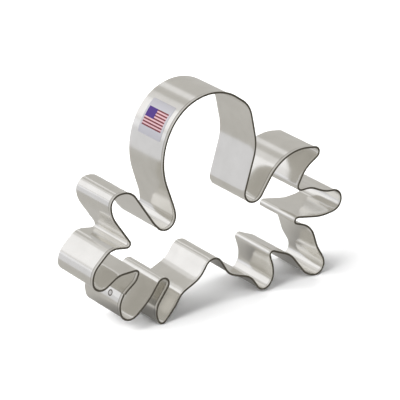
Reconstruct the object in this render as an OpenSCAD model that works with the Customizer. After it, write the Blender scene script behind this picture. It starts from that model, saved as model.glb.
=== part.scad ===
// Octopus cookie cutter.
// One strip of tinned steel is bent on edge round forming pins into a closed outline: a tall head and eight legs.
// One long edge is folded over outwards as a blunt rim for the hand; the other stays raw and cuts the dough.
// The two ends of the strip lap on the flank of the third leg, where two spot welds hold them.
//
// Frame: the cutter stands on its leg tips. +X to the right across the octopus, +Z up, +Y into the cutting edge.
// Origin: middle of the bounding box, on the ground. Millimetres.

/* [Shape] */
// Width of the octopus over the walls, left leg to right leg
outline_width = 132; // [110:1:160]
// Depth of the cutter, folded rim to cutting edge
cutter_depth = 25.4; // [16:0.2:38]

/* [Sheet] */
// Thickness of the tinned steel
sheet = 0.3; // [0.2:0.05:0.4]
// Width of the folded rim
hem_width = 1.6; // [1.2:0.1:2.4]

/* [Seam] */
// How far the strip's start lies past the beginning of the flank bend
seam_start = 2.5; // [1:0.1:3]
// Length over which the two ends lie on each other
lap_length = 5; // [4.5:0.5:6]
// Length in which the outer end steps back down to the line of the wall
joggle_length = 4; // [3:0.5:6]
// Gap between the two sheets in the lap
lap_gap = 0.02; // [0.01:0.01:0.05]
// Gap between the end of the rim's fold and the outer end of the strip
fold_gap = 0.3; // [0.2:0.1:0.6]
// Diameter of a spot weld
weld_diameter = 2.6; // [2:0.1:3]
// Distance from the outer end of the strip to the weld centres
weld_inset = 2.2; // [2:0.1:2.6]
// Distance between the two weld centres, along the depth
weld_spacing = 8.6; // [6:0.2:9]
// Depth of the flat that the electrode leaves on each side of a weld
weld_dent = 0.04; // [0.02:0.01:0.06]

/* [Label] */
// Thickness of the label film
film = 0.1; // [0.05:0.01:0.15]
// Width of the label across the strip
label_width = 16; // [10:0.5:18]
// Length of the label along the strip
label_length = 16; // [10:0.5:20]
// Distance along the strip from the crown of the head down to the label
label_from_crown = 15; // [10:0.5:18]

/* [Quality] */
// Largest distance between a round bend and its facets
facet_sag = 0.03; // [0.02:0.01:0.08]
// Number of steps in the round nose of the folded rim
nose_steps = 2; // [1:1:3]

/* [View] */
// Piece to show

/* [Hidden] */

steel_colour = [0.74, 0.73, 0.71];
weld_colour = [0.62, 0.61, 0.60];
film_colour = [0.86, 0.85, 0.90];

// Forming pins, walked with the octopus on the left hand: [x, z, radius].
// A positive radius bends the strip to the left, round the inside of a leg or of the head.
// A negative radius bends it to the right, round the outside of a notch between two legs.
// The strip touches each pin with its outer face and runs straight from one pin to the next.
leg_3_pins = [
    [-42.5, 12.5, 10],
    [-47.5, 11.5, 5],
    [-60, 33.5, 30],
];
notch_3_4 = [
    [-30.5, 18, -3],
];
leg_4_pins = [
    [-25.5, 5.5, 8.5],
    [-31, 2, 2],
    [-41, 19, 21],
    [-15.5, 5, -8],
    [-20, 26, 13],
];
notch_4_5 = [
    [-4, 18.5, -4.5],
];
leg_5_pins = [
    [10.5, 20.5, 9],
    [10, 1, -9.5],
    [23.5, 5, 4],
    [22.5, 7, 6],
    [12.5, 7.5, 16],
];
notch_5_6 = [
    [28, 16.5, -1.5],
];
leg_6_pins = [
    [38, 30, 15],
    [30, 3.5, -12.5],
    [53.5, 10.5, 10.5],
    [52.5, 4.5, 4.5],
    [48.5, 4, 8.5],
    [69.5, 20.5, -18],
    [40.5, 16, 11],
];
notch_6_7 = [
    [41.5, 29, -1.5],
];
leg_7_pins = [
    [56, 53, 25],
    [61, 33.5, 5],
    [62, 56, -17.5],
    [46.5, 33, 10],
];
notch_7_8 = [
    [43.5, 45, -2],
];
leg_8_pins = [
    [56, 43, -14],
    [50.5, 59, 2.5],
    [43.5, 42, 20.5],
];
right_neck = [
    [17.5, 49, -5],
];
// The pin that forms the crown of the head
crown_pin = [-6, 76, 23];
head_pins = [
    [-4, 71, 22],
    [3.5, 82, 12.5],
    crown_pin,
    [-0.5, 72.5, 29.5],
];
left_neck = [
    [-40, 47.5, -16],
    [-29, 48, -5],
    [-26.5, 53.5, -10.5],
];
leg_1_pins = [
    [-50.5, 57.5, 7.5],
    [-51.5, 60, 5],
    [-42.5, 60.5, 14],
];
notch_1_2 = [
    [-48.5, 41.5, -1.5],
];
leg_2_pins = [
    [-54.5, 34, 7],
    [-57, 29, 9],
    [-61.5, 28.5, 4.5],
];
notch_2_3 = [
    [-50.5, 19.5, -9],
    [-44.5, 27, -1.5],
    [-48, 26.5, -4.5],
];
drawn_width = 132;
drawn_pins = concat(
    leg_3_pins, notch_3_4, leg_4_pins, notch_4_5, leg_5_pins, notch_5_6,
    leg_6_pins, notch_6_7, leg_7_pins, notch_7_8, leg_8_pins, right_neck,
    head_pins, left_neck, leg_1_pins, notch_1_2, leg_2_pins, notch_2_3
);

pins = drawn_pins * outline_width / drawn_width;
pin_count = len(pins);

// Direction, in degrees, of the straight run between two pins
function run_heading(from, to) =
    let (reach = norm([to.x - from.x, to.y - from.y]))
    atan2(to.y - from.y, to.x - from.x) + asin((from.z - to.z) / reach);

run_headings = [for (i = [0:pin_count - 1]) run_heading(pins[i], pins[(i + 1) % pin_count])];

// Angle that the strip turns through on pin i, positive to the left
function bend_angle(i) =
    let (before = run_headings[(i + pin_count - 1) % pin_count], after = run_headings[i])
    pins[i].z > 0 ? (after - before + 720) % 360 : -((before - after + 720) % 360);

// Points of pin i's bend: [x, z, outward x, outward z]
function bend_points(i) =
    let (
        start = run_headings[(i + pin_count - 1) % pin_count],
        turn = bend_angle(i),
        facet = 2 * acos(1 - facet_sag / abs(pins[i].z)),
        count = max(1, ceil(abs(turn) / facet))
    )
    [for (j = [0:count])
        let (heading = start + turn * j / count, out = [sin(heading), -cos(heading)])
        [pins[i].x + pins[i].z * out.x, pins[i].y + pins[i].z * out.y, out.x, out.y]];

outline = [for (i = [0:pin_count - 1]) each bend_points(i)];
corner_count = len(outline);

// Distance walked along the outline up to each of its corners, and once round
function side(i) = norm([
    outline[(i + 1) % corner_count][0] - outline[i][0],
    outline[(i + 1) % corner_count][1] - outline[i][1]
]);
walked = [for (i = 0, s = 0; i <= corner_count; s = s + side(i % corner_count), i = i + 1) s];
girth = walked[corner_count];

// Each coordinate of the outline against the distance walked
tables = [for (k = [0:3]) [for (i = [0:corner_count]) [walked[i], outline[i % corner_count][k]]]];
two_rounds = concat([for (i = [0:corner_count - 1]) walked[i]], [for (s = walked) s + girth]);

// Point at a distance along the outline, moved outwards by an offset
function face_point(s, offset) =
    let (w = s % girth)
    [lookup(w, tables[0]) + offset * lookup(w, tables[2]), lookup(w, tables[1]) + offset * lookup(w, tables[3])];

// Stops between two distances: every corner of the outline, and the extra stops asked for in rising order
function stops(from, to, extra = []) = concat(
    [from],
    [for (i = [0:len(two_rounds) - 2]) each [
        if (two_rounds[i] > from && two_rounds[i] < to) two_rounds[i],
        for (e = extra) if (e > two_rounds[i] && e < two_rounds[i + 1]) e
    ]],
    [to]
);

// The strip starts at the seam, goes once round and ends under its own start
strip_start = seam_start;
strip_end = girth + seam_start + lap_length;
fold_end = girth + seam_start - fold_gap;
lap_end = strip_start + lap_length;
joggle_end = lap_end + joggle_length;
joggle_stops = [for (j = [0:4]) lap_end + joggle_length * j / 4];

// How far the strip stands outside its usual line: one sheet and the gap in the lap, eased down to nothing
function lift(s) =
    s <= lap_end ? sheet + lap_gap
    : s >= joggle_end ? 0
    : (sheet + lap_gap) * (1 + cos(180 * (s - lap_end) / joggle_length)) / 2;

// Closed shape between an outer and an inner offset, both counted from the wall's outer face
module band(places, outer, inner) {
    last = len(places) - 1;
    polygon(concat(
        [for (s = places) face_point(s, outer(s))],
        [for (j = [0:last]) face_point(places[last - j], inner(places[last - j]))]
    ));
}

// Raises a flat shape between two depths, counted from the folded rim
module across_depth(from, to) {
    translate([0, to - cutter_depth / 2, sheet])
        rotate([90, 0, 0])
            linear_extrude(to - from)
                children();
}

wall_stops = stops(strip_start, strip_end, joggle_stops);
step_length = 0.02;
hem_stops = stops(strip_start, strip_end, concat(joggle_stops, [fold_end, fold_end + step_length]));
nose_stops = stops(strip_start, fold_end, joggle_stops);

// Half the thickness of the folded rim is the radius of its nose
nose_radius = sheet;
function nose_depth(k) = nose_radius * (1 - cos(90 * k / nose_steps));
function nose_inset(k) = nose_radius * (1 - sin(90 * (k + 0.5) / nose_steps));

// Plain wall, from the fold to the cutting edge
module wall() {
    across_depth(hem_width, cutter_depth)
        band(wall_stops, function(s) lift(s), function(s) lift(s) - sheet);
}

// Folded rim: the wall and the leaf turned back on its outside; the strip's covered end has no leaf
module hem() {
    across_depth(nose_radius, hem_width)
        band(
            hem_stops,
            function(s) s <= fold_end ? lift(s) + sheet : lift(s),
            function(s) lift(s) - sheet
        );
}

// Round nose of the fold
module hem_nose() {
    for (k = [0:nose_steps - 1])
        across_depth(nose_depth(k), nose_depth(k + 1))
            band(
                nose_stops,
                function(s) lift(s) + sheet - nose_inset(k),
                function(s) lift(s) - sheet + nose_inset(k)
            );
}

weld_place = strip_start + weld_inset;
weld_foot = face_point(weld_place, -sheet);
weld_head = face_point(weld_place, lap_gap + sheet);
weld_out = (weld_head - weld_foot) / norm(weld_head - weld_foot);
weld_angle = atan2(weld_out.y, weld_out.x);

// Puts something at each weld, with +Z pointing out of the cutter and 0 on the inner face
module at_welds() {
    for (side = [-1, 1])
        translate([weld_foot.x, side * weld_spacing / 2, weld_foot.y + sheet])
            rotate([0, 90 - weld_angle, 0])
                children();
}

// The strip, with the holes that the welds fill
module cutter_strip() {
    color(steel_colour)
        difference() {
            union() {
                wall();
                hem();
                hem_nose();
            }
            at_welds()
                translate([0, 0, -3 * sheet])
                    cylinder(d = weld_diameter, h = 8 * sheet, $fn = 24);
        }
}

// Two weld nuggets through both sheets, a little sunk on each side
module spot_welds() {
    color(weld_colour)
        at_welds()
            translate([0, 0, weld_dent])
                cylinder(d = weld_diameter, h = 2 * sheet + lap_gap - 2 * weld_dent, $fn = 24);
}

// Distance along the outline from its start to the crown of the head
crown_index = search([crown_pin], drawn_pins)[0];
corners_before_crown = len([for (i = [0:crown_index - 1]) each bend_points(i)]);
crown_turn = bend_angle(crown_index);
crown_heading = run_headings[crown_index - 1];
crown_share = (180 - (crown_heading + 360) % 360) / crown_turn;
crown_walk = walked[corners_before_crown]
    + crown_share * (walked[corners_before_crown + len(bend_points(crown_index)) - 1] - walked[corners_before_crown]);

label_start = crown_walk + label_from_crown;
label_stops = stops(label_start, label_start + label_length);

// Label film on the left cheek of the head, halfway between rim and cutting edge
module label_film() {
    color(film_colour)
        across_depth((cutter_depth - label_width) / 2, (cutter_depth + label_width) / 2)
            band(label_stops, function(s) film, function(s) 0);
}

cutter_strip();
spot_welds();
label_film();
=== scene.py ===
import math
import bpy
from mathutils import Matrix, Vector


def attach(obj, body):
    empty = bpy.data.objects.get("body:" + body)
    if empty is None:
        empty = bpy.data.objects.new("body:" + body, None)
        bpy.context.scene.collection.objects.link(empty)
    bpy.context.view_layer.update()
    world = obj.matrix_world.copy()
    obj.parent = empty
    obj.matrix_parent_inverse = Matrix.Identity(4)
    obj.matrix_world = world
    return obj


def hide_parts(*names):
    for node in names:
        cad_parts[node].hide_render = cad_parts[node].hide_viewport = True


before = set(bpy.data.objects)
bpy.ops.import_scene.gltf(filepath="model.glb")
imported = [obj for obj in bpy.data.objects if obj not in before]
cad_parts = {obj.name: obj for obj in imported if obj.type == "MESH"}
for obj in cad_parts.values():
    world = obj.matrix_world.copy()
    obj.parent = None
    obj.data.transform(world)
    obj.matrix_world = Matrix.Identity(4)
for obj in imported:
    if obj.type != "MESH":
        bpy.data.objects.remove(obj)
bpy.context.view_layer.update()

# The strip.
# One band of tinned steel, bent on edge round forming pins into an octopus with a head and eight legs.
# Its near edge is folded over outwards as a blunt rim, and its far edge is left raw to cut.
mm = 0.001  # the cutter's own sizes are in millimetres, and this turns them into metres
sheet = 0.3
depth = 25.4
fold_width = 1.6

# The two ends lap on leg 3: the outer end steps up over the inner one, and the fold stops short of it.
# The last stretch of the outer end is left unbent, although the leg's flank is curved there.
seam_start = 2.5
lap_length = 5.0
joggle_length = 4.0
lap_gap = 0.02
fold_gap = 0.3
straight_lead = 2.0
flank_radius = 10.0

# The pins, walked with the octopus on the left hand: x, z, radius.
# A positive radius bends the strip round the inside of a leg, a negative one round a notch between two legs.
leg_3_pins = [(-42.5, 12.5, 10), (-47.5, 11.5, 5), (-60, 33.5, 30)]
notch_3_4 = [(-30.5, 18, -3)]
leg_4_pins = [(-25.5, 5.5, 8.5), (-31, 2, 2), (-41, 19, 21), (-15.5, 5, -8), (-20, 26, 13)]
notch_4_5 = [(-4, 18.5, -4.5)]
leg_5_pins = [(10.5, 20.5, 9), (10, 1, -9.5), (23.5, 5, 4), (22.5, 7, 6), (12.5, 7.5, 16)]
notch_5_6 = [(28, 16.5, -1.5)]
leg_6_pins = [(38, 30, 15), (30, 3.5, -12.5), (53.5, 10.5, 10.5), (52.5, 4.5, 4.5), (48.5, 4, 8.5),
              (69.5, 20.5, -18), (40.5, 16, 11)]
notch_6_7 = [(41.5, 29, -1.5)]
leg_7_pins = [(56, 53, 25), (61, 33.5, 5), (62, 56, -17.5), (46.5, 33, 10)]
notch_7_8 = [(43.5, 45, -2)]
leg_8_pins = [(56, 43, -14), (50.5, 59, 2.5), (43.5, 42, 20.5)]
right_neck = [(17.5, 49, -5)]
crown_pin = (-6, 76, 23)
head_pins = [(-4, 71, 22), (3.5, 82, 12.5), crown_pin, (-0.5, 72.5, 29.5)]
left_neck = [(-40, 47.5, -16), (-29, 48, -5), (-26.5, 53.5, -10.5)]
leg_1_pins = [(-50.5, 57.5, 7.5), (-51.5, 60, 5), (-42.5, 60.5, 14)]
notch_1_2 = [(-48.5, 41.5, -1.5)]
leg_2_pins = [(-54.5, 34, 7), (-57, 29, 9), (-61.5, 28.5, 4.5)]
notch_2_3 = [(-50.5, 19.5, -9), (-44.5, 27, -1.5), (-48, 26.5, -4.5)]
pins = (leg_3_pins + notch_3_4 + leg_4_pins + notch_4_5 + leg_5_pins + notch_5_6 + leg_6_pins + notch_6_7
        + leg_7_pins + notch_7_8 + leg_8_pins + right_neck + head_pins + left_neck + leg_1_pins + notch_1_2
        + leg_2_pins + notch_2_3)


def run_heading(a, b):
    """Heading of the straight run from pin a to pin b."""
    reach = math.hypot(b[0] - a[0], b[1] - a[1])
    return math.atan2(b[1] - a[1], b[0] - a[0]) + math.asin((a[2] - b[2]) / reach)


def bent_line(facet):
    """Corners of the outline, with the bends cut into facets of about this length."""
    headings = [run_heading(pins[i], pins[(i + 1) % len(pins)]) for i in range(len(pins))]
    corners = []
    for i, (x, z, radius) in enumerate(pins):
        start = headings[i - 1]
        turn = (headings[i] - start) % (2 * math.pi)
        if radius < 0:
            turn = -((start - headings[i]) % (2 * math.pi))
        count = max(2, math.ceil(abs(turn * radius) / facet))
        for j in range(count + 1):
            heading = start + turn * j / count
            corners.append((x + radius * math.sin(heading), z - radius * math.cos(heading)))
    return corners


def walk_evenly(corners, distance):
    """The closed line again, as points at even distances from its first corner, and its length."""
    closed = corners + corners[:1]
    lengths = [0.0]
    for a, b in zip(closed[:-1], closed[1:]):
        lengths.append(lengths[-1] + math.dist(a, b))
    count = round(lengths[-1] / distance)
    points = []
    k = 0
    for i in range(count):
        s = lengths[-1] * i / count
        while lengths[k + 1] <= s:
            k += 1
        t = (s - lengths[k]) / (lengths[k + 1] - lengths[k])
        points.append((closed[k][0] + t * (closed[k + 1][0] - closed[k][0]),
                       closed[k][1] + t * (closed[k + 1][1] - closed[k][1])))
    return points, lengths[-1]


def springback(points, reach):
    """Each point averaged with its neighbours, as steel eases from a straight run into a bend."""
    nearby = range(-3 * reach, 3 * reach + 1)
    weights = [math.exp(-0.5 * (j / reach) ** 2) for j in nearby]
    total = sum(weights)
    eased = []
    for i in range(len(points)):
        near = [points[(i + j) % len(points)] for j in nearby]
        eased.append((sum(w * p[0] for w, p in zip(weights, near)) / total,
                      sum(w * p[1] for w, p in zip(weights, near)) / total))
    return eased


facet_length = 0.1
point_distance = 0.2
easing_points = 3
line, girth = walk_evenly(bent_line(facet_length), point_distance)
line = springback(line, easing_points)
line_step = girth / len(line)
line_out = []
for i in range(len(line)):
    (ax, az), (bx, bz) = line[i - 1], line[(i + 1) % len(line)]
    length = math.hypot(bx - ax, bz - az)
    line_out.append(((bz - az) / length, -(bx - ax) / length))


def on_line(s):
    """Point of the outline at distance s, and the direction out of the octopus there."""
    place = (s % girth) / line_step
    i, t = int(place) % len(line), place - int(place)
    j = (i + 1) % len(line)
    x, z = (line[i][k] + t * (line[j][k] - line[i][k]) for k in (0, 1))
    ox, oz = (line_out[i][k] + t * (line_out[j][k] - line_out[i][k]) for k in (0, 1))
    length = math.hypot(ox, oz)
    return x, z, ox / length, oz / length


def lift(s):
    """How far the outer end of the strip stands out over its inner end."""
    lap_end = seam_start + lap_length
    if s <= lap_end:
        unbent = max(0.0, seam_start + straight_lead - s)
        return sheet + lap_gap + unbent ** 2 / (2 * flank_radius)
    if s >= lap_end + joggle_length:
        return 0.0
    return (sheet + lap_gap) * (1 + math.cos(math.pi * (s - lap_end) / joggle_length)) / 2


def ease(value, start, full):
    """0 up to start, 1 from full on, and a smooth step between."""
    t = min(1.0, max(0.0, (value - start) / (full - start)))
    return t * t * (3 - 2 * t)


# The left legs lean a little, out and up towards the cutting edge, as bending by hand leaves them.
# The lean grows from the first to the second x, and from the first to the second z; the feet don't rise.
lean_out, lean_up = 1.1, 0.8
lean_across = (5, -35)
lean_below = (74, 50)
rise_above = (2, 12)


def at(s, offset, d):
    """A point in metres: distance along the outline, offset outwards from it, depth from the folded rim."""
    x, z, ox, oz = on_line(s)
    lean = d / depth * ease(x, *lean_across) * ease(z, *lean_below)
    return ((x + offset * ox - lean_out * lean) * mm,
            (d - depth / 2) * mm,
            (z + offset * oz + sheet + lean_up * lean * ease(z, *rise_above)) * mm)


# The strip's section, down the outside, round the fold and up the inside: offset outwards, then depth.
# Shears round the corners of the raw edge, and a row of corners just below keeps them crisp.
shorn = depth - 0.12
shorn_outside = [(-0.03, depth), (0.0, depth - 0.05), (0.0, shorn)]
shorn_inside = [(-sheet, shorn), (-sheet, depth - 0.05), (-sheet + 0.03, depth)]


def flat_wall(offset, start, end, rows=8):
    """Corners at even depths between two others."""
    return [(offset, start + (end - start) * t / rows) for t in range(1, rows)]


# The fold's leaf lies on the outside and leaves a fine crack under its own raw edge.
# At the nose the fold springs open a little, so the rim is slightly thicker than two sheets.
leaf_foot = [(0.0, fold_width + 1.2), (0.0, fold_width + 0.7)]
leaf_crack = [(0.0, fold_width + 0.5), (0.0, fold_width + 0.03), (0.04, fold_width),
              (sheet - 0.09, fold_width)]
leaf = [(sheet - 0.06, 1.5), (sheet - 0.02, 1.3), (sheet + 0.05, 1.05), (sheet + 0.13, 0.75)]
nose_radius = 0.47
nose_offset = 0.03
nose_flatness = 0.6
nose_facets = 14
nose = []
for k in range(nose_facets + 1):
    across, down = math.cos(math.pi * k / nose_facets), math.sin(math.pi * k / nose_facets)
    nose.append((nose_offset + nose_radius * math.copysign(abs(across) ** nose_flatness, across),
                 nose_radius * (1 - down ** nose_flatness)))
fold_inside = [(-sheet - 0.08, 0.8), (-sheet - 0.04, 1.2), (-sheet, fold_width)]
folded_section = (shorn_outside + flat_wall(0.0, shorn, leaf_foot[0][1]) + leaf_foot + leaf_crack + leaf
                  + nose + fold_inside + flat_wall(-sheet, fold_width, shorn) + shorn_inside)

# The covered end has no leaf, and stops just short of the rim
plain_end = [(0.0, 12.0), (0.0, 0.45), (-0.04, 0.3), (-sheet + 0.04, 0.3), (-sheet, 0.45), (-sheet, 12.0)]
plain_section = shorn_outside + plain_end + shorn_inside


def sweep_section(name, parts):
    """Mesh of sections carried along the outline; a part is a section and its stops, each with its lift."""
    verts, faces, spots = [], [], []
    for section, stops in parts:
        first, n = len(verts), len(section)
        for s, raised in stops:
            for offset, d in section:
                verts.append(at(s, offset + raised, d))
                spots.append((s, d))
        for i in range(len(stops) - 1):
            a = first + i * n
            for j in range(n):
                k = (j + 1) % n
                faces.append((a + j, a + k, a + n + k, a + n + j))
        last = first + (len(stops) - 1) * n
        faces.append(tuple(first + j for j in reversed(range(n))))
        faces.append(tuple(last + j for j in range(n)))
    mesh = bpy.data.meshes.new(name)
    mesh.from_pydata(verts, [], faces)
    mesh.update()
    mesh.validate()
    return mesh, spots


def map_surface(mesh, name, places):
    """A flat map of a mesh, from the place of each of its corners."""
    layer = mesh.uv_layers.new(name=name)
    for loop in mesh.loops:
        layer.data[loop.index].uv = places[loop.vertex_index]


def shade(mesh, sharp_degrees):
    """Smooth shading, with a crisp line where the surface turns by more than this angle."""
    mesh.shade_smooth()
    mesh.set_sharp_from_angle(angle=math.radians(sharp_degrees))


def put_in_scene(name, data):
    """A new object made of this mesh, camera or lamp."""
    thing = bpy.data.objects.new(name, data)
    bpy.context.scene.collection.objects.link(thing)
    return thing


def even_stops(start, end):
    """Distances along the outline from start to end, at most a stop's length apart."""
    stop_length = 0.4
    count = math.ceil((end - start) / stop_length)
    return [start + (end - start) * i / count for i in range(count + 1)]


fold_end = girth + seam_start - fold_gap
strip_end = girth + seam_start + lap_length
folded_stops = even_stops(seam_start, fold_end)
covered_stops = even_stops(fold_end, strip_end)
strip_mesh, strip_spots = sweep_section("strip", [
    (folded_section, [(s, lift(s)) for s in folded_stops]),
    (plain_section, [(s, 0.0) for s in covered_stops]),
])
map_length = 100  # the map counts this many millimetres as one
map_surface(strip_mesh, "strip_mm", [(s / map_length, d / map_length) for s, d in strip_spots])
shade(strip_mesh, sharp_degrees=25)
strip = put_in_scene("strip", strip_mesh)


def tightness(s):
    """0 on a straight run, up to 1 in the tightest bends, from how far the outline turns in a millimetre."""
    crease_gain = 3.0
    _, _, ax, az = on_line(s - 0.5)
    _, _, bx, bz = on_line(s + 0.5)
    return min(1.0, crease_gain * abs(ax * bz - az * bx))


def painted_fold_shade(corner):
    """How dark the painted shade makes the steel: most on the fold's nose, as a painted dark reflection, and
    less in the leaf's crack, as painted crevice shade.
    """
    nose_depth, crack_painted_shade = 0.14, 0.45
    if corner[1] < nose_depth:
        return 1.0
    return crack_painted_shade if corner in leaf_crack else 0.0


def paint(mesh, name, values):
    """A number kept at each corner of a mesh, for its material."""
    layer = mesh.attributes.new(name, "FLOAT", "POINT")
    for k, value in enumerate(values):
        layer.data[k].value = value


paint(strip_mesh, "tightness", [tightness(s) for s, d in strip_spots])
# Painted shade on the fold: full on its nose, less in the leaf's crack
paint(strip_mesh, "painted_fold_shade", [painted_fold_shade(corner) for corner in folded_section] * len(folded_stops))


def feed(socket, value):
    """Sets a socket to a plain value, or links another node's output to it."""
    if isinstance(value, bpy.types.NodeSocket):
        socket.id_data.links.new(value, socket)
    else:
        socket.default_value = value


def adjust(node, **settings):
    """Sets a node's sockets and options by name, with an underscore for a space in a socket's name."""
    for key, value in settings.items():
        socket = key.replace("_", " ")
        if socket in node.inputs:
            feed(node.inputs[socket], value)
        else:
            setattr(node, key, value)
    return node


def add(tree, kind, *first, **settings):
    """A new node; the first values go to its first sockets, the rest to what they name."""
    node = adjust(tree.nodes.new(kind), **settings)
    for socket, value in zip(node.inputs, first):
        feed(socket, value)
    return node


def noise(tree, place, **settings):
    """A soft random pattern over the surface."""
    return add(tree, "ShaderNodeTexNoise", place, **settings).outputs["Fac"]


def stretch(tree, place, along, across):
    """A place on the surface, scaled along and across the strip."""
    return add(tree, "ShaderNodeMapping", place, Scale=(along, across, 1)).outputs["Vector"]


def remap(tree, value, start, end, low, high, **options):
    """A value carried from one range to another."""
    node = add(tree, "ShaderNodeMapRange", value, From_Min=start, From_Max=end, To_Min=low, To_Max=high,
               **options)
    return node.outputs["Result"]


def maths(tree, operation, *values):
    """The outcome of one sum."""
    return add(tree, "ShaderNodeMath", *values, operation=operation).outputs["Value"]


def painted(tree, name):
    """The number kept at each corner of the mesh under this name."""
    return add(tree, "ShaderNodeAttribute", attribute_name=name).outputs["Fac"]


def colour_ramp(tree, value, stops):
    """A colour that goes through the stops, each a position and a colour, as the value grows."""
    node = add(tree, "ShaderNodeValToRGB", value)
    elements = node.color_ramp.elements
    elements[0].position, elements[0].color = stops[0]
    elements[1].position, elements[1].color = stops[-1]
    for position, colour in stops[1:-1]:
        elements.new(position).color = colour
    return node.outputs["Color"]


def colour_mix(tree, share, below, above, **options):
    """Two colours mixed, with this share of the one above."""
    node = add(tree, "ShaderNodeMix", share, data_type="RGBA", **options)
    for socket, colour in zip([i for i in node.inputs if i.type == "RGBA"], (below, above)):
        feed(socket, colour)
    return [o for o in node.outputs if o.type == "RGBA"][0]


def relief(tree, height, distance, strength, **over):
    """Relief in metres, over another relief if one is given as Normal."""
    node = add(tree, "ShaderNodeBump", Height=height, Distance=distance, Strength=strength, **over)
    return node.outputs["Normal"]


def start_material(name, **finish):
    """A material, its nodes, and its shader with the finish that is the same all over."""
    material = bpy.data.materials.new(name)
    material.use_nodes = True
    return material, material.node_tree, adjust(material.node_tree.nodes["Principled BSDF"], **finish)


def tinplate_material():
    """Rolled, tin-plated steel: satin, faintly grained along the strip, with painted shade on the fold's
    nose and in the leaf's crack.
    """
    steel, tree, shader = start_material("tinplate", Metallic=1)
    strip_map = add(tree, "ShaderNodeUVMap", uv_map="strip_mm").outputs["UV"]

    # Tin bloom: soft cloudy patches of tone, with painted shade multiplied in on the fold's nose and in the
    # leaf's crack
    bloom = noise(tree, strip_map, Scale=9.0, Detail=3.0, Roughness=0.55)
    tin = colour_ramp(tree, bloom, [(0.3, (0.775, 0.762, 0.725, 1)), (0.7, (0.84, 0.828, 0.792, 1))])
    # Painted shade: the fold's nose and the leaf's crack are multiplied towards this dull brown
    painted_shade_brown = (0.20, 0.185, 0.16, 1)
    tin_with_painted_shade = colour_mix(tree, painted(tree, "painted_fold_shade"), tin, painted_shade_brown, blend_type="MULTIPLY")

    # Rolling marks: long streaks of slightly different shine
    rolling = noise(tree, stretch(tree, strip_map, along=4.0, across=120.0), Scale=8.0, Detail=2.0)
    bright, satin = 0.13, 0.19
    shine = remap(tree, rolling, 0.3, 0.7, bright, satin)

    # Creases across the strip, only where the pins bent it tightly, over slow waves left by handling
    crease = noise(tree, stretch(tree, strip_map, along=90.0, across=1.2), Scale=1.0, Detail=3.0)
    crease_height = maths(tree, "MULTIPLY", crease, painted(tree, "tightness"))
    creases = relief(tree, crease_height, distance=0.04 * mm, strength=0.9)
    waves = noise(tree, strip_map, Scale=7.0, Detail=1.0)
    surface = relief(tree, waves, distance=0.06 * mm, strength=0.5, Normal=creases)
    adjust(shader, Base_Color=tin_with_painted_shade, Roughness=shine, Normal=surface)
    return steel


strip_mesh.materials.append(tinplate_material())
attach(strip, "root")
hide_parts("cutter_strip")

# The spot welds.
# Two pressed weld marks, 2.6 mm across, fuse the lapped ends through both sheets.
# The electrode leaves a dull ring with a small raised lip and a flat middle, on both faces.
weld_inset = 2.2
weld_spacing = 8.6
weld_facets = 32
# The mark from its middle outwards: radius, height above the steel
weld_profile = [(0.0, 0.022), (0.45, 0.022), (0.7, 0.018), (0.85, 0.006), (1.0, 0.008), (1.12, 0.045),
                (1.22, 0.05), (1.32, 0.03), (1.42, 0.0), (1.45, -0.02)]
weld_radius = weld_profile[-1][0]


def inner_face(s):
    """Offset of the strip's inner face, one sheet inside the outline all the way."""
    return -sheet


def weld_mesh():
    """Two lens-shaped slugs: a mark on the outer face and one on the inner face, joined round the edge."""
    verts, faces, radii = [], [], []
    for side in (-1, 1):
        first = len(verts)
        s0, d0 = seam_start + weld_inset, depth / 2 + side * weld_spacing / 2
        for surface, outwards in ((lift, 1), (inner_face, -1)):
            for radius, height in weld_profile[1:]:
                for k in range(weld_facets):
                    a = 2 * math.pi * k / weld_facets
                    s, d = s0 + radius * math.cos(a), d0 + radius * math.sin(a)
                    verts.append(at(s, surface(s) + outwards * height, d))
                    radii.append(radius)
            verts.append(at(s0, surface(s0) + outwards * weld_profile[0][1], d0))
            radii.append(0)
        rings = len(weld_profile) - 1
        shell = rings * weld_facets + 1
        for shell_start, turned in ((first, False), (first + shell, True)):
            centre = shell_start + rings * weld_facets
            for k in range(weld_facets):
                n = (k + 1) % weld_facets
                shell_faces = [(centre, shell_start + k, shell_start + n)]
                for r in range(rings - 1):
                    a, b = shell_start + r * weld_facets, shell_start + (r + 1) * weld_facets
                    shell_faces.append((a + k, b + k, b + n, a + n))
                faces += [face[::-1] if turned else face for face in shell_faces]
        outer_edge = first + (rings - 1) * weld_facets
        inner_edge = outer_edge + shell
        for k in range(weld_facets):
            n = (k + 1) % weld_facets
            faces.append((outer_edge + k, inner_edge + k, inner_edge + n, outer_edge + n))
    mesh = bpy.data.meshes.new("weld_marks")
    mesh.from_pydata(verts, [], faces)
    mesh.update()
    paint(mesh, "from_middle", radii)
    mesh.shade_smooth()
    return mesh


def weld_material():
    """Pressed weld: bright in the middle, a dull heat-tinted ring round it."""
    pressed, tree, shader = start_material("pressed_weld", Metallic=1, Roughness=0.32)
    place = remap(tree, painted(tree, "from_middle"), 0.0, weld_radius, 0.0, 1.0)
    heat_tint = colour_ramp(tree, place, [(0.55, (0.74, 0.73, 0.71, 1)), (0.66, (0.20, 0.185, 0.165, 1)),
                                          (0.90, (0.18, 0.165, 0.145, 1)), (1.0, (0.70, 0.69, 0.67, 1))])
    pits = add(tree, "ShaderNodeTexNoise", Scale=3000.0, Detail=2.0).outputs["Fac"]
    pitting = relief(tree, pits, distance=0.02 * mm, strength=0.4)
    adjust(shader, Base_Color=heat_tint, Normal=pitting)
    return pressed


weld_marks = put_in_scene("weld_marks", weld_mesh())
weld_marks.data.materials.append(weld_material())
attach(weld_marks, "root")
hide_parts("spot_welds")

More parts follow.
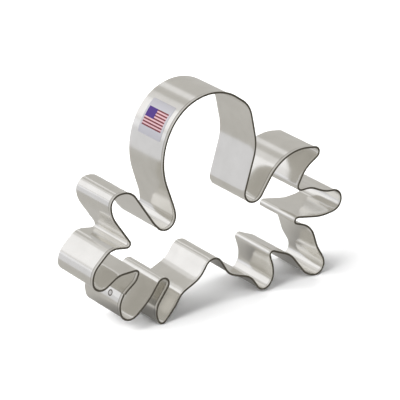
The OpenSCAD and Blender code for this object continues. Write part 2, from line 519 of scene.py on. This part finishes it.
# The label.
# A thin silvery film, 16 mm square with rounded corners, stuck on the head's left cheek.
# It carries a plain block of printed stripes; the film above and below the print is bare.
film = 0.08
label_size = 16.0
label_corner = 0.7
label_from_crown = 15.0
label_from_rim = (depth - label_size) / 2


def crown_place():
    """Distance along the outline to the crown of the head, where the strip turns over."""
    x, z, radius = crown_pin
    tries = 6000
    return min((girth * k / tries for k in range(tries)),
               key=lambda s: math.dist(on_line(s)[:2], (x, z + radius)))


corner_rows = 6
middle_rows = 40
label_columns = 24
label_rows = [label_corner * (1 - math.cos(math.pi / 2 * k / corner_rows)) for k in range(corner_rows + 1)]
label_rows += [label_corner + (label_size - 2 * label_corner) * k / middle_rows
               for k in range(1, middle_rows + 1)]
label_rows += [label_size - row for row in reversed(label_rows[:corner_rows])]


def label_mesh(label_start):
    """A closed sheet: a face outside, a face on the strip, and a cut edge round them."""
    verts, faces, places = [], [], []
    for offset in (film, 0.0):
        for row in label_rows:
            into = min(row, label_size - row, label_corner)
            inset = label_corner - math.sqrt(max(0.0, label_corner ** 2 - (label_corner - into) ** 2))
            for c in range(label_columns + 1):
                d = inset + (label_size - 2 * inset) * c / label_columns
                verts.append(at(label_start + row, offset, label_from_rim + d))
                places.append((row / label_size, d / label_size))
    rows, columns = len(label_rows), label_columns + 1
    under = rows * columns
    for r in range(rows - 1):
        for c in range(columns - 1):
            a = r * columns + c
            faces.append((a, a + 1, a + columns + 1, a + columns))
            faces.append((under + a, under + a + columns, under + a + columns + 1, under + a + 1))
    edge = list(range(columns)) + [r * columns + columns - 1 for r in range(1, rows)]
    edge += [(rows - 1) * columns + c for c in range(columns - 2, -1, -1)]
    edge += [r * columns for r in range(rows - 2, 0, -1)]
    for a, b in zip(edge, edge[1:] + edge[:1]):
        faces.append((b, a, under + a, under + b))
    mesh = bpy.data.meshes.new("label")
    mesh.from_pydata(verts, [], faces)
    mesh.update()
    map_surface(mesh, "label_place", places)
    shade(mesh, sharp_degrees=40)
    return mesh


def between(tree, value, low, high):
    """1 where a place on the film lies between two others, in millimetres, softened a little as print is."""
    soft = 0.004  # of the film's side
    low, high = low / label_size, high / label_size
    return maths(tree, "MULTIPLY", remap(tree, value, low - soft, low + soft, 0.0, 1.0),
                 remap(tree, value, high - soft, high + soft, 1.0, 0.0))


def label_material():
    """Silvery film with red and white printed stripes and a plain violet block in one corner."""
    printed, tree, shader = start_material("printed_film", Roughness=0.3, Coat_Weight=0.3,
                                           Coat_Roughness=0.15)
    place = add(tree, "ShaderNodeUVMap", uv_map="label_place").outputs["UV"]
    film_place = add(tree, "ShaderNodeSeparateXYZ", place).outputs
    down, across = film_place["X"], film_place["Y"]

    # The print, in millimetres down from the film's top and across from its side by the rim
    bars, block_bars = 13, 7
    top, bottom = 3.9, 12.5
    rim_side, edge_side = 1.3, 14.9
    block_bottom, block_side = top + (bottom - top) * block_bars / bars, 8.9
    panel = maths(tree, "MULTIPLY", between(tree, down, top, bottom),
                  between(tree, across, rim_side, edge_side))
    block = maths(tree, "MULTIPLY", between(tree, down, top, block_bottom),
                  between(tree, across, block_side, edge_side))

    # Bars of red and white, the first and the last red
    count = remap(tree, down, top / label_size, bottom / label_size, 0.0, bars / 2, clamp=False)
    red_share = remap(tree, maths(tree, "FRACT", count), 0.47, 0.53, 1.0, 0.0)
    stripes = colour_mix(tree, red_share, (0.73, 0.48, 0.51, 1), (0.18, 0.038, 0.048, 1))
    violet = (0.075, 0.035, 0.22, 1)
    silver = (0.60, 0.595, 0.63, 1)
    ink = colour_mix(tree, panel, silver, colour_mix(tree, block, stripes, violet))

    # The print dulls the metal a little, and the film has a slow ripple
    metal = remap(tree, panel, 0.0, 1.0, 0.97, 0.90)
    ripple = relief(tree, noise(tree, place, Scale=5.0, Detail=2.0), distance=0.05 * mm, strength=0.4)
    adjust(shader, Base_Color=ink, Metallic=metal, Normal=ripple)
    return printed


label = put_in_scene("label", label_mesh(crown_place() + label_from_crown))
label.data.materials.append(label_material())
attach(label, "root")
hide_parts("label_film")

# The floor.
# A plain white table top just under the folded nose, wide enough that the camera sees nothing else.
# Under the cutter, the steel mirrors a duller, glowing grey card in place of the bright table, with a
# painted shadow under the cutter.
table_height = -0.22
card_height = -0.5
warm_grey = (1, 0.978, 0.938, 1)


def flat_sheet(name, corners, height, colour, glow):
    """A flat matt sheet with a colour to glow in; gives the sheet, its nodes and its shader."""
    mesh = bpy.data.meshes.new(name)
    (x0, y0), (x1, y1) = corners
    verts = [(x, y, height) for x, y in ((x0, y0), (x1, y0), (x1, y1), (x0, y1))]
    mesh.from_pydata(verts, [], [(0, 1, 2, 3)])
    matt, tree, shader = start_material(name + "_matt", Base_Color=colour, Roughness=1.0,
                                        Specular_IOR_Level=0.0, Emission_Color=glow)
    mesh.materials.append(matt)
    flat = put_in_scene(name, mesh)
    return flat, tree, shader


def distance_from_middle(tree, scale):
    """Distance from the middle of the sheet, in metres, with its directions scaled."""
    place = add(tree, "ShaderNodeTexCoord").outputs["Object"]
    scaled = add(tree, "ShaderNodeVectorMath", place, scale, operation="MULTIPLY").outputs["Vector"]
    return add(tree, "ShaderNodeVectorMath", scaled, operation="LENGTH").outputs["Value"]


# Far from the cutter the table top is white everywhere
floor, floor_tree, floor_shader = flat_sheet(
    "floor", ((-4, -4), (4, 4)), table_height * mm, (0.9, 0.9, 0.9, 1), (1, 1, 1, 1))
far = remap(floor_tree, distance_from_middle(floor_tree, (1, 1, 1)), 0.35, 1.0, 0.0, 1.0,
            interpolation_type="SMOOTHSTEP")
adjust(floor_shader, Emission_Strength=far)
floor.visible_glossy = False
floor.visible_shadow = False

# The card glows evenly, with a painted shadow: its glow is dimmer where the cutter stands over it
card, card_tree, card_shader = flat_sheet(
    "card", ((-0.15, -0.0115), (1, 1.5)), card_height * mm, (0, 0, 0, 1), warm_grey)
# Painted shadow on the card: glow falls from 0.55 to 0.17 near the cutter's footprint
card_painted_shadow = remap(card_tree, distance_from_middle(card_tree, (0.25, 1, 0)), 0.006, 0.034, 0.17, 0.55,
                     interpolation_type="SMOOTHSTEP")
adjust(card_shader, Emission_Strength=card_painted_shadow)
card.visible_camera = False
card.visible_diffuse = False
card.visible_shadow = False

# The camera.
# A long lens looks down on the folded rim from the left, as in the photograph.
from_left, from_above = math.radians(36.0911), math.radians(23.3845)
aim = Vector((-0.00217, 0, 0.04587))
camera_distance = 1.03051
camera_data = bpy.data.cameras.new("camera")
camera_data.lens = 216
camera_data.sensor_width = 36
camera_data.clip_start = 0.01
camera = put_in_scene("camera", camera_data)
towards_camera = Vector((-math.sin(from_left) * math.cos(from_above),
                         -math.cos(from_left) * math.cos(from_above),
                         math.sin(from_above)))
camera.location = aim + camera_distance * towards_camera
camera.rotation_euler = (math.radians(90) - from_above, 0, -from_left)
bpy.context.scene.camera = camera

# The light.
# A pale room stands all round, and only the steel mirrors it; the camera sees plain white behind the table.
# Some lamps show only in the steel, the others only on the table, where they leave the soft shadow.
world = bpy.data.worlds.new("room")
bpy.context.scene.world = world
world.use_nodes = True
room = world.node_tree


def straight_from_steel(tree):
    """1 for light that hasn't been scattered by the table on its way, 0 for the rest."""
    scattered = add(tree, "ShaderNodeLightPath").outputs["Diffuse Depth"]
    return maths(tree, "LESS_THAN", scattered, 0.5)


# The wall behind the cutter is a little brighter than the rest of the room
around = add(room, "ShaderNodeTexCoord").outputs["Generated"]
backwards = add(room, "ShaderNodeSeparateXYZ", around).outputs["Y"]
wall = remap(room, backwards, 0.1, 0.5, 0.45, 0.575, interpolation_type="SMOOTHSTEP")
rays = add(room, "ShaderNodeLightPath").outputs
in_steel = maths(room, "MULTIPLY", straight_from_steel(room), rays["Is Glossy Ray"])
mirrored = maths(room, "MULTIPLY", wall, in_steel)
adjust(room.nodes["Background"], Strength=maths(room, "ADD", mirrored, rays["Is Camera Ray"]),
       Color=colour_mix(room, rays["Is Camera Ray"], warm_grey, (1, 1, 1, 1)))


def soft_lamp(name, shape, place, size, brightness):
    """A soft lamp aimed at the middle of the cutter, as bright all over; the camera doesn't see it."""
    data = bpy.data.lights.new(name, "AREA")
    data.shape = shape
    data.size, data.size_y = size
    fill = 1.0 if shape == "RECTANGLE" else math.pi / 4
    data.energy = brightness * math.pi * fill * size[0] * size[1]
    lamp = put_in_scene(name, data)
    middle = Vector((0, 0, 45 * mm))
    away = (Vector(place) - middle).normalized()
    long_way = (Vector((0, 1, 0)) - away * away.y).normalized()
    turned = Matrix((long_way.cross(away), long_way, away)).transposed().to_4x4()
    lamp.matrix_world = Matrix.Translation(place) @ turned
    lamp.visible_camera = False
    return lamp


def steel_lamp(name, shape, place, size, brightness, colour):
    """A lamp that shows only in the steel."""
    lamp = soft_lamp(name, shape, place, size, brightness)
    lamp.visible_diffuse = False
    lamp.data.color = colour
    lamp.data.use_nodes = True
    tree = lamp.data.node_tree
    adjust(tree.nodes["Emission"], Strength=straight_from_steel(tree))


def table_lamp(name, place, width, brightness):
    """A round lamp that shows only on the table."""
    soft_lamp(name, "ELLIPSE", place, (width, width), brightness).visible_glossy = False


# The same set stands in front and behind, so that the steel looks alike from both sides
cool_white = (0.91, 0.93, 1.015)
sky_blue = (0.84, 0.91, 1.15)
for end in (1, -1):
    steel_lamp("shoulder box", "ELLIPSE", (-0.58, 0.86 * end, 0.645), (1.25, 0.80), 0.26, cool_white)
    steel_lamp("shoulder lamp", "ELLIPSE", (-0.59, 0.86 * end, 0.635), (0.66, 0.50), 0.29, cool_white)
    steel_lamp("left card", "RECTANGLE", (-0.79, 0.89 * end, -0.12), (0.90, 0.70), 0.22, sky_blue)
    steel_lamp("crown streak", "RECTANGLE", (0.24, 0.89 * end, 0.80), (0.20, 0.50), 0.34, cool_white)
table_lamp("table front", (-0.30, -1.80, 1.50), 1.6, 4.35)
table_lamp("table left", (-1.67, 0.29, 1.74), 2.2, 5.85)
table_lamp("table front left", (-1.90, -0.35, 1.40), 1.2, 5.2)
table_lamp("table back left", (-1.40, 1.67, 1.06), 2.2, 4.75)
table_lamp("table top", (0.0, 0.0, 2.4), 1.6, 3.15)
bpy.context.scene.view_settings.view_transform = "Standard"
